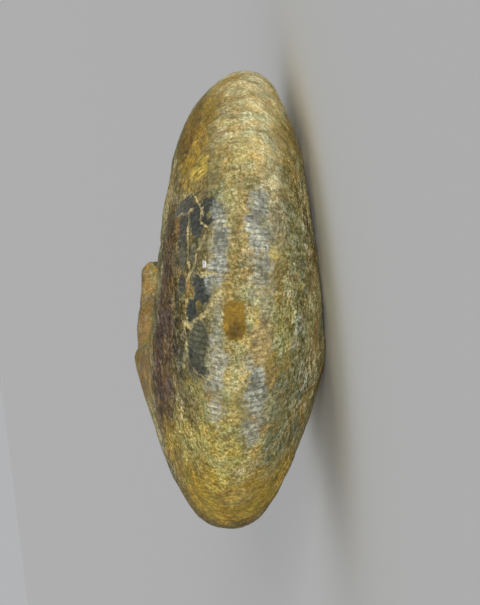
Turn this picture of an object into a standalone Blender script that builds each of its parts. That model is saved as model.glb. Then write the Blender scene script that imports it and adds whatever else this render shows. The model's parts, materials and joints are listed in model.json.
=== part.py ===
"""A fossil ammonite, lying on its lower flank as it would on a table.

The shell is a flat coil that grows by a fixed ratio each turn. The outer whorl hides most of the whorls inside it,
which show only as steps in the umbilicus, the hollow at the middle of each flank. The outer whorl is broken off at
its mouth, and the stone that fills it shows there as a horseshoe round the whorl inside.

Angles along the coil are in degrees and rise as the shell grows: 0 points to +X, 90 to -Y, 180 to -X and 270 to +Y.
A place on a whorl is its angle and its fraction, the distance from the coil's axis over that of the whorl's rim.
"""

import math

import bmesh
import bpy
from mathutils import Matrix, Vector, noise

# The coil, in metres and degrees
SHELL_WIDTH = 0.150  # across the rim, from 0 degrees to 180 degrees
WHORL_GROWTH = 1.66  # a whorl's radius over that of the whorl inside it
MOUTH_ANGLE = 272.0  # where the outer whorl is broken off

# The whorl section, in fractions of the rim's distance from the axis
SHOULDER = 0.345  # where the flank is thickest and turns down into the umbilicus
WALL_FOOT = 0.225  # where the umbilical wall would reach the middle plane
SEAM = 0.257  # where it meets the whorl inside

# Half-thickness at the shoulder over the rim's radius, as (angle, value)
UPPER_THICKNESS = (
    (-448, 0.335), (-90, 0.334), (0, 0.334), (60, 0.340), (110, 0.342), (150, 0.349), (180, 0.364),
    (195, 0.371), (210, 0.350), (230, 0.342), (250, 0.327), (272, 0.310),
)
LOWER_THICKNESS = (
    (-448, 0.335), (-90, 0.336), (0, 0.343), (60, 0.352), (100, 0.362), (140, 0.372),
    (180, 0.361), (225, 0.310), (272, 0.262),
)

# The flank's curve from rim to shoulder: young whorls are oval, the last half whorl is nearly three-sided
OVAL_UNTIL = 0.0  # degrees
THREE_SIDED_FROM = 180.0  # degrees
FLANK_BEND_OVAL = 1.75
FLANK_BEND_THREE_SIDED = 1.10
RIM_FULLNESS = 0.30  # how much fuller than a plain arc the three-sided rim is
RIM_FULLNESS_REACH = 0.12  # share of the flank over which that fades

# Round 0 degrees the rim leans a little to the lower flank
RIM_LEAN = 0.0019
RIM_LEAN_REACH = 0.13  # fraction of the radius
RIM_LEAN_SPREAD = 28.0  # degrees each way from 0

# A spot on the rim worn through to the stone, and the broad unevenness of the whole surface
WORN_SPOT_ANGLE = 102.0
WORN_SPOT_HEIGHT = 0.0015  # above the middle plane
WORN_SPOT_LENGTH = 0.0125  # along the rim
WORN_SPOT_WIDTH = 0.0068
WORN_SPOT_DEPTH = 0.0008
WORN_SPOT_REACH = 30.0  # degrees each way, past which the spot is nothing
UNEVEN_DEPTH = 0.0006
UNEVEN_SIZE = 0.016

# The broken mouth: how far the break runs ahead of MOUTH_ANGLE in degrees, as (fraction, value)
UPPER_BREAK = ((SEAM, 0.0), (0.29, 1.2), (SHOULDER, 3.4), (0.45, 2.4), (0.62, -1.6), (0.80, 1.0), (1.0, -1.0))
LOWER_BREAK = ((SEAM, 0.0), (0.29, -1.0), (SHOULDER, -3.0), (0.50, -4.0), (0.68, -0.6), (0.85, -2.6), (1.0, -1.0))
BREAK_FADE = 14.0  # degrees back from the mouth over which the edge's wander dies out
MOUTH_HOLLOW = 0.0030  # how deep the stone in the mouth lies below the broken edge
LIP_DROP = 0.14  # share of the half-thickness that is rounded off the mouth's upper edge
LIP_REACH = 6.5  # degrees back from the mouth over which it is rounded

# How the shell lies
REST_TILT_ABOUT_Y = 8.11  # degrees, the 0 end down
REST_TILT_ABOUT_X = -2.45  # degrees, the mouth side down
WORN_FLAT_DEPTH = 0.0006  # the lower flank is rubbed flat by this much where it touches
PLUG_HEIGHT = 0.0048  # half the thickness of the stone at the coil's axis

# The mesh
COLUMNS = 84  # around one turn
OUTER_ROWS = 9  # from the rim to where the next whorl's seam will lie
FLANK_ROWS = 2  # from there to the shoulder
WALL_ROWS = 4  # from the shoulder to the seam
WHORLS_IN_UMBILICUS = 2
MOUTH_ROWS = 3
RIM_ROW_POWER = 1.7  # over 1 sets the rows closer together near the rim
SHARP_ANGLE = 40.0  # degrees, over which an edge isn't shaded smooth

TURN_ROWS = FLANK_ROWS + WALL_ROWS
SEAM_ROW = OUTER_ROWS + TURN_ROWS
LAST_ROW = SEAM_ROW + WHORLS_IN_UMBILICUS * TURN_ROWS
GROWTH_PER_RADIAN = math.log(WHORL_GROWTH) / math.tau
UPPER, LOWER = 1, -1

STONE_COLOUR = (0.36, 0.27, 0.12, 1.0)
STONE_ROUGHNESS = 0.55


def clear_scene():
    for old in list(bpy.data.objects):
        bpy.data.objects.remove(old)


def read_table(table, x):
    """The value at x of a smooth curve through (x, value) points."""
    x = min(max(x, table[0][0]), table[-1][0])
    i = max(j for j in range(len(table) - 1) if table[j][0] <= x)
    (x0, y0), (x1, y1) = table[i], table[i + 1]
    before, after = table[max(i - 1, 0)], table[min(i + 2, len(table) - 1)]
    step = x1 - x0
    slope0 = (y1 - before[1]) / (x1 - before[0]) * step
    slope1 = (after[1] - y0) / (after[0] - x0) * step
    t = (x - x0) / step
    return (
        (2 * t**3 - 3 * t**2 + 1) * y0
        + (t**3 - 2 * t**2 + t) * slope0
        + (3 * t**2 - 2 * t**3) * y1
        + (t**3 - t**2) * slope1
    )


def rim_radius(angle):
    radius_at_180 = SHELL_WIDTH / (1 + math.exp(-GROWTH_PER_RADIAN * math.pi))
    return radius_at_180 * math.exp(GROWTH_PER_RADIAN * math.radians(angle - 180))


def half_thickness(angle, fraction, side):
    """From the middle plane to the surface of the whorl at this angle."""
    thickness = read_table(UPPER_THICKNESS if side == UPPER else LOWER_THICKNESS, angle)
    if fraction >= SHOULDER:
        along = (1 - fraction) / (1 - SHOULDER)
        age = min(max((angle - OVAL_UNTIL) / (THREE_SIDED_FROM - OVAL_UNTIL), 0), 1)
        bend = FLANK_BEND_OVAL + age * (FLANK_BEND_THREE_SIDED - FLANK_BEND_OVAL)
        fullness = 1 + age * RIM_FULLNESS * math.exp(-along / RIM_FULLNESS_REACH)
        share = math.sqrt(1 - (1 - along) ** bend) * fullness
    else:
        share = math.sqrt(1 - ((SHOULDER - fraction) / (SHOULDER - WALL_FOOT)) ** 2)
    return rim_radius(angle) * thickness * share


def lip(back, fraction):
    """How much of the half-thickness is left near the mouth, where the upper edge is rounded."""
    left = 1 - min(back / LIP_REACH, 1)
    from_seam = min((fraction - SEAM) / (SHOULDER - SEAM), 1)
    return 1 - LIP_DROP * from_seam * (1 - math.sqrt(1 - left**2))


def row_fractions():
    """Fractions from the rim inwards. Each later turn's rows repeat the one before, so that rows meet after a turn."""
    next_seam = SEAM * WHORL_GROWTH
    rows = [1 - (1 - next_seam) * (i / OUTER_ROWS) ** RIM_ROW_POWER for i in range(OUTER_ROWS + 1)]
    rows += [next_seam + (SHOULDER - next_seam) * i / FLANK_ROWS for i in range(1, FLANK_ROWS + 1)]
    foot = math.asin((SHOULDER - SEAM) / (SHOULDER - WALL_FOOT))
    rows += [
        SHOULDER - (SHOULDER - WALL_FOOT) * math.sin(foot * i / WALL_ROWS)
        for i in range(1, WALL_ROWS + 1)
    ]
    while len(rows) <= LAST_ROW:
        rows.append(rows[-TURN_ROWS] / WHORL_GROWTH)
    return rows


def surface_point(back, row, side, fractions):
    """A point of the shell, back degrees before the mouth."""
    angle = MOUTH_ANGLE - back
    distance = fractions[row] * rim_radius(angle)
    whorls_inside = 0 if row < SEAM_ROW else 1 + (row - SEAM_ROW) // TURN_ROWS
    own_row = row - whorls_inside * TURN_ROWS
    height = half_thickness(angle - 360 * whorls_inside, fractions[own_row], side)
    lean = -RIM_LEAN * math.exp(
        -(((1 - fractions[row]) / RIM_LEAN_REACH) ** 2) - (angle / RIM_LEAN_SPREAD) ** 2
    )
    if row < SEAM_ROW and side == UPPER:
        height *= lip(back, fractions[row])
    if row < SEAM_ROW:
        edge = read_table(UPPER_BREAK if side == UPPER else LOWER_BREAK, fractions[row])
        angle += edge * math.exp(-((back / BREAK_FADE) ** 2))
    turn = math.radians(angle)
    return Vector((distance * math.cos(turn), -distance * math.sin(turn), side * height + lean))


def add_shell_rows(mesh, side, fractions, rim):
    """One flank's vertices, as grid[column][row]. The last column's inner rows are the first column's, a turn on."""
    grid = []
    for column in range(COLUMNS + 1):
        back = 360 * column / COLUMNS
        points = [rim[column]]
        for row in range(1, LAST_ROW + 1):
            if column == COLUMNS and OUTER_ROWS <= row <= LAST_ROW - TURN_ROWS:
                points.append(grid[0][row + TURN_ROWS])
            else:
                points.append(mesh.verts.new(surface_point(back, row, side, fractions)))
        grid.append(points)
    return grid


def add_face(mesh, corners, side):
    """A face from corners that turn anticlockwise seen from above, so that a lower face is turned round."""
    kept = [v for i, v in enumerate(corners) if v is not corners[i - 1]]
    if len(kept) > 2:
        mesh.faces.new(kept if side == UPPER else kept[::-1])


def add_strip(mesh, outer, inner, side):
    """Faces between two rows of vertices, where inner may repeat a vertex."""
    for i in range(len(outer) - 1):
        add_face(mesh, (outer[i], inner[i], inner[i + 1], outer[i + 1]), side)


def add_mouth(mesh, grid, rim_middles, side):
    """The broken face, from the outer whorl's edge to the surface of the whorl inside."""
    edge = grid[0][: SEAM_ROW + 1]
    inside = [grid[COLUMNS][round(row * OUTER_ROWS / SEAM_ROW)] for row in range(SEAM_ROW + 1)]
    rows = [edge]
    for i, middle in enumerate(rim_middles, 1):
        share = i / (len(rim_middles) + 1)
        row = [middle]
        for a, b in zip(edge[1:-1], inside[1:-1]):
            row.append(mesh.verts.new(hollowed(a.co.lerp(b.co, share), share)))
        rows.append([*row, edge[-1]])
    rows.append(inside)
    for outer, inner in zip(rows, rows[1:]):
        add_strip(mesh, inner, outer, side)


def hollowed(point, share):
    """The point, set back into the mouth along the coil."""
    turn = math.radians(MOUTH_ANGLE)
    ahead = Vector((-math.sin(turn), -math.cos(turn), 0))
    return point - ahead * MOUTH_HOLLOW * math.sin(math.pi * share)


def add_plug(mesh, grid, side):
    """The stone that fills the innermost whorls, on one flank."""
    loop = [points[LAST_ROW] for points in grid]
    loop += [grid[COLUMNS][row] for row in range(LAST_ROW - 1, LAST_ROW - TURN_ROWS, -1)]
    middle = mesh.verts.new((0, 0, side * PLUG_HEIGHT))
    for a, b in zip(loop, loop[1:] + loop[:1]):
        add_face(mesh, (a, b, middle), side)


def relief(point):
    """How far the surface stands out at this point."""
    out = UNEVEN_DEPTH * noise.noise(point / UNEVEN_SIZE)
    angle = math.degrees(math.atan2(-point.y, point.x))
    if abs(angle - WORN_SPOT_ANGLE) < WORN_SPOT_REACH:
        along = math.radians(angle - WORN_SPOT_ANGLE) * rim_radius(angle) / (WORN_SPOT_LENGTH / 2)
        across = (point.z - WORN_SPOT_HEIGHT) / (WORN_SPOT_WIDTH / 2)
        out -= WORN_SPOT_DEPTH * math.exp(-((along**2 + across**2) ** 2))
    return out


def wear(mesh):
    mesh.normal_update()
    moves = [(v, v.normal * relief(v.co)) for v in mesh.verts]
    for v, move in moves:
        v.co += move


def make_shell():
    fractions = row_fractions()
    mesh = bmesh.new()
    rim = []
    for column in range(COLUMNS + 1):
        rim.append(mesh.verts.new(surface_point(360 * column / COLUMNS, 0, UPPER, fractions)))
    shares = [i / MOUTH_ROWS for i in range(1, MOUTH_ROWS)]
    rim_middles = [
        mesh.verts.new(hollowed(rim[0].co.lerp(rim[COLUMNS].co, share), share)) for share in shares
    ]
    for side in (UPPER, LOWER):
        grid = add_shell_rows(mesh, side, fractions, rim)
        for newer, older in zip(grid, grid[1:]):
            add_strip(mesh, newer, older, side)
        add_mouth(mesh, grid, rim_middles, side)
        add_plug(mesh, grid, side)
    wear(mesh)
    bmesh.ops.triangulate(mesh, faces=mesh.faces, quad_method="SHORT_EDGE")
    return mesh


def lay_down(mesh):
    """Turns the shell on to its lower flank and sets its box's middle over the origin, with the worn depth below 0."""
    tilt = Matrix.Rotation(math.radians(REST_TILT_ABOUT_Y), 4, "Y")
    tilt = Matrix.Rotation(math.radians(REST_TILT_ABOUT_X), 4, "X") @ tilt
    bmesh.ops.transform(mesh, matrix=tilt, verts=mesh.verts)
    low = Vector([min(v.co[i] for v in mesh.verts) for i in range(3)])
    high = Vector([max(v.co[i] for v in mesh.verts) for i in range(3)])
    middle = (low + high) / 2
    shift = Vector((-middle.x, -middle.y, -low.z - WORN_FLAT_DEPTH))
    bmesh.ops.translate(mesh, vec=shift, verts=mesh.verts)


def to_object(mesh, name, collection):
    data = bpy.data.meshes.new(name)
    mesh.to_mesh(data)
    mesh.free()
    thing = bpy.data.objects.new(name, data)
    collection.objects.link(thing)
    return thing


def make_collection(name):
    collection = bpy.data.collections.new(name)
    bpy.context.scene.collection.children.link(collection)
    return collection


def rub_flat(shell, collection):
    """Cuts the lower flank level where it touches the table."""
    size = 2 * SHELL_WIDTH
    block = bmesh.new()
    below = Matrix.Translation((0, 0, -size / 2))
    bmesh.ops.create_cube(block, size=size, matrix=below)
    cutter = to_object(block, "table_cutter", collection)
    cutter.hide_render = True
    cutter.display_type = "WIRE"
    cut = shell.modifiers.new("worn_flat", "BOOLEAN")
    cut.operation = "DIFFERENCE"
    cut.object = cutter


def stone_material():
    material = bpy.data.materials.new("fossil_stone")
    material.use_nodes = True
    shader = material.node_tree.nodes["Principled BSDF"]
    shader.inputs["Base Color"].default_value = STONE_COLOUR
    shader.inputs["Roughness"].default_value = STONE_ROUGHNESS
    shader.inputs["Metallic"].default_value = 0.0
    return material


def main():
    clear_scene()
    fossil = make_collection("fossil_ammonite")
    cutters = make_collection("cutters")
    mesh = make_shell()
    lay_down(mesh)
    shell = to_object(mesh, "ammonite", fossil)
    shell.data.materials.append(stone_material())
    shell.data.shade_smooth()
    shell.data.set_sharp_from_angle(angle=math.radians(SHARP_ANGLE))
    rub_flat(shell, cutters)


main()
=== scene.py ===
"""The looks of a fossil ammonite that lies on its lower flank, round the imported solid.

The shell here is the solid's own coil, worked out again with a finer mesh, so that the growth lines, the
crust and the broken mouth are real relief. Angles along the coil are in degrees and rise as the shell grows.
A place on a whorl is its angle and its fraction, the distance from the coil's axis over that of the whorl's
rim. In the coil's own axes 0 degrees points to +X, 90 to -Y, 180 to -X and 270 to +Y, and the axis is Z.
"""

import json
import math

import bpy
import numpy as np
from mathutils import Matrix, Vector, noise

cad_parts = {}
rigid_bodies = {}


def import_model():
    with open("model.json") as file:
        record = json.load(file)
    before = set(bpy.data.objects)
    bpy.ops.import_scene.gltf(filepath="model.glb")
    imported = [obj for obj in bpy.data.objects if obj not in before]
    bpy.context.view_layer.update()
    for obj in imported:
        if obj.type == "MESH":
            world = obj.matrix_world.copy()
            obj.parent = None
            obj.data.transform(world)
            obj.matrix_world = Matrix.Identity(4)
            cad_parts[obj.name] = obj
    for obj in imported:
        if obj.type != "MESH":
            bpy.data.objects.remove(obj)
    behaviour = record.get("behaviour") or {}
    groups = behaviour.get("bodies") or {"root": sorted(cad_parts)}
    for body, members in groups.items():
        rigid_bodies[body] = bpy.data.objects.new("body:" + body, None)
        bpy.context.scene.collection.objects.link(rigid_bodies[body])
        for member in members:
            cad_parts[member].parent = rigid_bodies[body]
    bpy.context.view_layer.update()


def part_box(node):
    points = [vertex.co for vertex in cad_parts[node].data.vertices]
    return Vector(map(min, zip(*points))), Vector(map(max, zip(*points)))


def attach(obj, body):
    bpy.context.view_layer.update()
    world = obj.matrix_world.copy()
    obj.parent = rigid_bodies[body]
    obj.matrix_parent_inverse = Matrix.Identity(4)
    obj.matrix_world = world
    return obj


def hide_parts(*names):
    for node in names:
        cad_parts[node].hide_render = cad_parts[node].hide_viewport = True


# The coil, in metres and degrees, as in the solid
SHELL_WIDTH = 0.150
WHORL_GROWTH = 1.66
MOUTH_ANGLE = 272.0
SHOULDER = 0.345
WALL_FOOT = 0.225
SEAM = 0.257
UPPER_THICKNESS = (
    (-448, 0.335), (-90, 0.334), (0, 0.334), (60, 0.340), (110, 0.342), (150, 0.349), (180, 0.364),
    (195, 0.371), (210, 0.350), (230, 0.342), (250, 0.327), (272, 0.310),
)
LOWER_THICKNESS = (
    (-448, 0.335), (-90, 0.336), (0, 0.343), (60, 0.352), (100, 0.362), (140, 0.372),
    (180, 0.361), (225, 0.310), (272, 0.262),
)
OVAL_UNTIL = 0.0
THREE_SIDED_FROM = 180.0
FLANK_BEND_OVAL = 1.75
FLANK_BEND_THREE_SIDED = 1.10
RIM_FULLNESS = 0.30
RIM_FULLNESS_REACH = 0.12
RIM_LEAN = 0.0019
RIM_LEAN_REACH = 0.13
RIM_LEAN_SPREAD = 28.0
WORN_SPOT_ANGLE = 102.0
WORN_SPOT_HEIGHT = 0.0015
WORN_SPOT_LENGTH = 0.0125
WORN_SPOT_WIDTH = 0.0068
WORN_SPOT_DEPTH = 0.0008
WORN_SPOT_REACH = 30.0
UNEVEN_DEPTH = 0.0006
UNEVEN_SIZE = 0.016
UPPER_BREAK = (
    (SEAM, 0.0), (0.29, 1.2), (SHOULDER, 3.4), (0.45, 2.4), (0.62, -1.6), (0.80, 1.0), (1.0, -1.0),
)
LOWER_BREAK = (
    (SEAM, 0.0), (0.29, -1.0), (SHOULDER, -3.0), (0.50, -4.0), (0.68, -0.6), (0.85, -2.6), (1.0, -1.0),
)
BREAK_FADE = 14.0
MOUTH_HOLLOW = 0.0030
LIP_DROP = 0.14
LIP_REACH = 6.5
REST_TILT_ABOUT_Y = 8.11
REST_TILT_ABOUT_X = -2.45
WORN_FLAT_DEPTH = 0.0006
PLUG_HEIGHT = 0.0048

# The fine mesh
LINES_PER_TURN = 240  # strong growth lines, each with a fine one behind it
COLUMNS_PER_LINE = 5
COLUMNS = LINES_PER_TURN * COLUMNS_PER_LINE
INNER_STEP = 4  # the inner whorls have one column in this many
OUTER_ROWS = 25
RIM_ROW_SHARE = 0.62  # a row's width on the rim over the average
ROWS_MEASURED_AT = 100.0  # degrees
FLANK_ROWS = 3
WALL_ROWS = 5
WHORLS_IN_UMBILICUS = 2
MOUTH_ROWS = 40
PLUG_RINGS = 4
TURN_ROWS = FLANK_ROWS + WALL_ROWS
SEAM_ROW = OUTER_ROWS + TURN_ROWS
LAST_ROW = SEAM_ROW + WHORLS_IN_UMBILICUS * TURN_ROWS
GROWTH_PER_RADIAN = math.log(WHORL_GROWTH) / math.tau
UPPER, LOWER = 0, 1
SIDES = {UPPER: 1.0, LOWER: -1.0}

# Relief finer than the solid's
LINE_HEIGHT = 0.00013
LINE_PROFILE = (-0.40, 0.75, 0.05, 0.22, -0.45)  # the heights of one strong line's columns
RIM_LAG = 1.6  # degrees that the growth lines lag behind on the rim
RIM_LAG_REACH = 0.10  # as a fraction
LAG_FADE = 20.0  # degrees from either end of the turn
CRUST_HEIGHT = 0.00022
CRUST_SIZE = 0.0022
LUMP_HEIGHT = 0.00030
LUMP_SIZE = 0.0050
LINE_PATCH_SIZE = 0.007  # of the places where the growth lines are strong
STONE_ROUGH = 0.0011
STONE_SIZE = 0.0080
PLUG_ROUGH = 0.0006
DEEP = 0.01  # metres into the stone, past the cut shell's edge
HOLLOW_WIDTH = 0.03  # a mouth narrower than this is hollowed less
SHELL_WALL = 0.0013  # the thickness of the shell, seen at the broken mouth

# The photograph's view of the coil
VIEW_YAW = 2.0  # degrees, towards the upper flank
VIEW_ROLL = 1.2
VIEW_DISTANCE = 1.055
COIL_PIXELS = 455.0  # the coil's height in the picture
COIL_PIXEL = (233.5, 272.0)  # its axis
VIEW_SCALE = SHELL_WIDTH / COIL_PIXELS
PICTURE_SIZE = (480, 605)
SENSOR = 36.0
SHARP_ANGLE = 55.0
FLOOR_SIZE = 400.0


# -------- the smooth shell


def smooth_table(table, x):
    """The values at x of a smooth curve through (x, value) points."""
    xs, ys = np.array(table, float).T
    x = np.clip(x, xs[0], xs[-1])
    i = np.clip(np.searchsorted(xs, x, side="right") - 1, 0, len(xs) - 2)
    slopes = np.empty(len(xs))
    slopes[1:-1] = (ys[2:] - ys[:-2]) / (xs[2:] - xs[:-2])
    slopes[0] = (ys[1] - ys[0]) / (xs[1] - xs[0])
    slopes[-1] = (ys[-1] - ys[-2]) / (xs[-1] - xs[-2])
    step = xs[i + 1] - xs[i]
    t = (x - xs[i]) / step
    return (
        (2 * t**3 - 3 * t**2 + 1) * ys[i]
        + (t**3 - 2 * t**2 + t) * slopes[i] * step
        + (3 * t**2 - 2 * t**3) * ys[i + 1]
        + (t**3 - t**2) * slopes[i + 1] * step
    )


def smoothstep(low, high, x):
    t = np.clip((x - low) / (high - low), 0, 1)
    return t * t * (3 - 2 * t)


def rim_radius(angle):
    radius_at_180 = SHELL_WIDTH / (1 + math.exp(-GROWTH_PER_RADIAN * math.pi))
    return radius_at_180 * np.exp(GROWTH_PER_RADIAN * np.radians(angle - 180))


def rim_length(angle):
    """The distance along the rim from 0 degrees."""
    return (rim_radius(angle) - rim_radius(0.0)) / GROWTH_PER_RADIAN


def half_thickness(angle, fraction, side):
    thickness = smooth_table(UPPER_THICKNESS if side == UPPER else LOWER_THICKNESS, angle)
    along = np.clip((1 - fraction) / (1 - SHOULDER), 0, 1)
    age = np.clip((angle - OVAL_UNTIL) / (THREE_SIDED_FROM - OVAL_UNTIL), 0, 1)
    bend = FLANK_BEND_OVAL + age * (FLANK_BEND_THREE_SIDED - FLANK_BEND_OVAL)
    fullness = 1 + age * RIM_FULLNESS * np.exp(-along / RIM_FULLNESS_REACH)
    flank = np.sqrt(1 - (1 - along) ** bend) * fullness
    wall = np.sqrt(1 - np.clip((SHOULDER - fraction) / (SHOULDER - WALL_FOOT), 0, 1) ** 2)
    return rim_radius(angle) * thickness * np.where(fraction >= SHOULDER, flank, wall)


def lip(back, fraction):
    """How much of the half-thickness is left near the mouth, where the upper edge is rounded."""
    left = 1 - np.clip(back / LIP_REACH, 0, 1)
    from_seam = np.clip((fraction - SEAM) / (SHOULDER - SEAM), 0, 1)
    return 1 - LIP_DROP * from_seam * (1 - np.sqrt(1 - left**2))


def shell_points(angle, fraction, side):
    """Points of the smooth shell, in the coil's axes."""
    distance = fraction * rim_radius(angle)
    lean = -RIM_LEAN * np.exp(-(((1 - fraction) / RIM_LEAN_REACH) ** 2) - (angle / RIM_LEAN_SPREAD) ** 2)
    back = MOUTH_ANGLE - angle
    thickness = half_thickness(angle, fraction, side)
    if side == UPPER:
        thickness *= lip(back, fraction)
    height = SIDES[side] * thickness + lean
    edge = smooth_table(UPPER_BREAK if side == UPPER else LOWER_BREAK, fraction)
    turn = np.radians(angle + edge * np.exp(-((back / BREAK_FADE) ** 2)))
    return np.stack([distance * np.cos(turn), -distance * np.sin(turn), height], -1)


# -------- the grid of the fine mesh


def own_rows():
    """The fractions of one whorl's rows, from the rim in. Those near the rim are narrower."""
    next_seam = SEAM * WHORL_GROWTH
    trial = np.linspace(1, next_seam, 400)
    points = shell_points(np.full(len(trial), ROWS_MEASURED_AT), trial, UPPER)
    steps = np.linalg.norm(np.diff(points, axis=0), axis=1)
    length = np.concatenate([[0], np.cumsum(steps)])
    share = np.arange(OUTER_ROWS + 1) / OUTER_ROWS
    share = share * RIM_ROW_SHARE + share**2 * (1 - RIM_ROW_SHARE)
    outer = np.interp(share * length[-1], length, trial)
    flank = next_seam + (SHOULDER - next_seam) * np.arange(1, FLANK_ROWS + 1) / FLANK_ROWS
    foot = math.asin((SHOULDER - SEAM) / (SHOULDER - WALL_FOOT))
    wall = SHOULDER - (SHOULDER - WALL_FOOT) * np.sin(foot * np.arange(1, WALL_ROWS + 1) / WALL_ROWS)
    return np.concatenate([outer, flank, wall])


def rim_lag(back, fraction):
    """How many degrees the columns of the mesh, and so the growth lines, lag behind near the rim."""
    fade = (1 - np.exp(-((back / LAG_FADE) ** 2))) * (1 - np.exp(-(((360 - back) / LAG_FADE) ** 2)))
    return RIM_LAG * np.exp(-(((1 - fraction) / RIM_LAG_REACH) ** 2)) * fade


class Shell:
    """The fossil's vertices, as ids[side, column, row], and its faces.

    Column 0 is the mouth and column COLUMNS is a turn back, under it. Row 0 is the rim. The rows past
    SEAM_ROW are the whorls inside, as far as they show in the umbilicus, so that the last column's inner
    rows are the first column's, a turn on. Each face keeps its corners' places for the material: the
    distance along the rim, the distance across from it, and the number of the growth line.
    """

    def __init__(self):
        self.rows = own_rows()
        self.ids = np.full((2, COLUMNS + 1, LAST_ROW + 1), -1)
        self.places = []  # (angle, fraction, side, column) of each shell vertex
        self.faces = []
        self.corner_places = []
        self.add_vertices()
        self.points = self.smooth_points()
        self.across = self.distances_across()
        self.add_shell_faces()

    def turn_of(self, row):
        return 0 if row < SEAM_ROW else 1 + (row - SEAM_ROW) // TURN_ROWS

    def angle_at(self, column, row, turn):
        back = 360 * column / COLUMNS
        lag = rim_lag(back, self.rows[row]) if row < OUTER_ROWS else 0.0
        return MOUTH_ANGLE - back - lag - 360 * turn

    def add_vertices(self):
        for side in SIDES:
            for column in range(COLUMNS + 1):
                last = LAST_ROW if column % INNER_STEP == 0 else SEAM_ROW
                for row in range(last + 1):
                    if row == 0 and side == LOWER:
                        self.ids[LOWER, column, 0] = self.ids[UPPER, column, 0]
                        continue
                    if column == COLUMNS and OUTER_ROWS <= row <= LAST_ROW - TURN_ROWS:
                        self.ids[side, column, row] = self.ids[side, 0, row + TURN_ROWS]
                        continue
                    turn = self.turn_of(row)
                    fraction = self.rows[row - turn * TURN_ROWS]
                    self.ids[side, column, row] = len(self.places)
                    self.places.append((self.angle_at(column, row, turn), fraction, side, column))
        self.places = np.array(self.places)

    def smooth_points(self):
        out = np.empty((len(self.places), 3))
        for side in SIDES:
            chosen = self.places[:, 2] == side
            out[chosen] = shell_points(self.places[chosen, 0], self.places[chosen, 1], side)
        return out

    def distances_across(self):
        """The distance over the surface from the rim to the outer whorl's rows, as [side, column, row]."""
        across = np.zeros((2, COLUMNS + 1, SEAM_ROW + 1))
        for side in SIDES:
            points = self.points[self.ids[side, :, : SEAM_ROW + 1]]
            steps = np.linalg.norm(np.diff(points, axis=1), axis=2)
            across[side, :, 1:] = np.cumsum(steps, axis=1) * SIDES[side]
        return across

    def add_face(self, corners, side, row):
        """A face of one whorl, from (column, row) corners that turn anticlockwise seen from above."""
        turn = self.turn_of(row)
        face, places = [], []
        for column, corner_row in corners:
            across = self.across[side, column, corner_row - turn * TURN_ROWS] * WHORL_GROWTH**-turn
            line = -(column / COLUMNS_PER_LINE + turn * LINES_PER_TURN)
            face.append(int(self.ids[side, column, corner_row]))
            places.append((rim_length(self.angle_at(column, corner_row, turn)), across, line))
        step = 1 if side == UPPER else -1
        self.faces.append(face[::step])
        self.corner_places.extend(places[::step])

    def add_quads(self, side, newer, older, rows):
        for row in rows:
            self.add_face(((newer, row), (older, row), (older, row + 1), (newer, row + 1)), side, row)

    def add_shell_faces(self):
        for side in SIDES:
            for column in range(COLUMNS):
                self.add_quads(side, column, column + 1, range(SEAM_ROW))
            for newer in range(0, COLUMNS, INNER_STEP):
                older = newer + INNER_STEP
                seam = [(newer + k, SEAM_ROW) for k in range(INNER_STEP + 1)]
                self.add_face((*seam, (older, SEAM_ROW + 1), (newer, SEAM_ROW + 1)), side, SEAM_ROW)
                self.add_quads(side, newer, older, range(SEAM_ROW + 1, LAST_ROW))


# -------- broken stone in the mouth and the umbilici


def mouth_direction():
    turn = math.radians(MOUTH_ANGLE)
    return np.array([-math.sin(turn), -math.cos(turn), 0.0])


def rough(points, size, seed):
    """Broken stone's unevenness at each point, about -1 to 1."""
    offset = Vector((seed, 2.0 * seed, 0.5 * seed))
    return np.array([
        noise.fractal(Vector(p) / size + offset, 0.9, 2.1, 5, noise_basis="PERLIN_ORIGINAL") for p in points
    ])


def add_stone(shell, points):
    """Adds points and returns their ids."""
    first = len(shell.points)
    shell.points = np.concatenate([shell.points, points])
    return np.arange(first, len(shell.points))


def add_stone_strip(shell, outer, inner, side, depths):
    """Faces between two rows of ids, where the inner may repeat one. Their places are depths in the stone."""
    for i in range(len(outer) - 1):
        corners = [(outer[i], depths[0]), (outer[i + 1], depths[0])]
        corners += [(inner[i + 1], depths[1]), (inner[i], depths[1])]
        kept = [c for k, c in enumerate(corners) if c[0] != corners[k - 1][0]]
        if len(kept) < 3:
            continue
        kept = kept if side == UPPER else kept[::-1]
        shell.faces.append([int(c[0]) for c in kept])
        shell.corner_places.extend((0.0, 0.0, c[1]) for c in kept)


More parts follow.
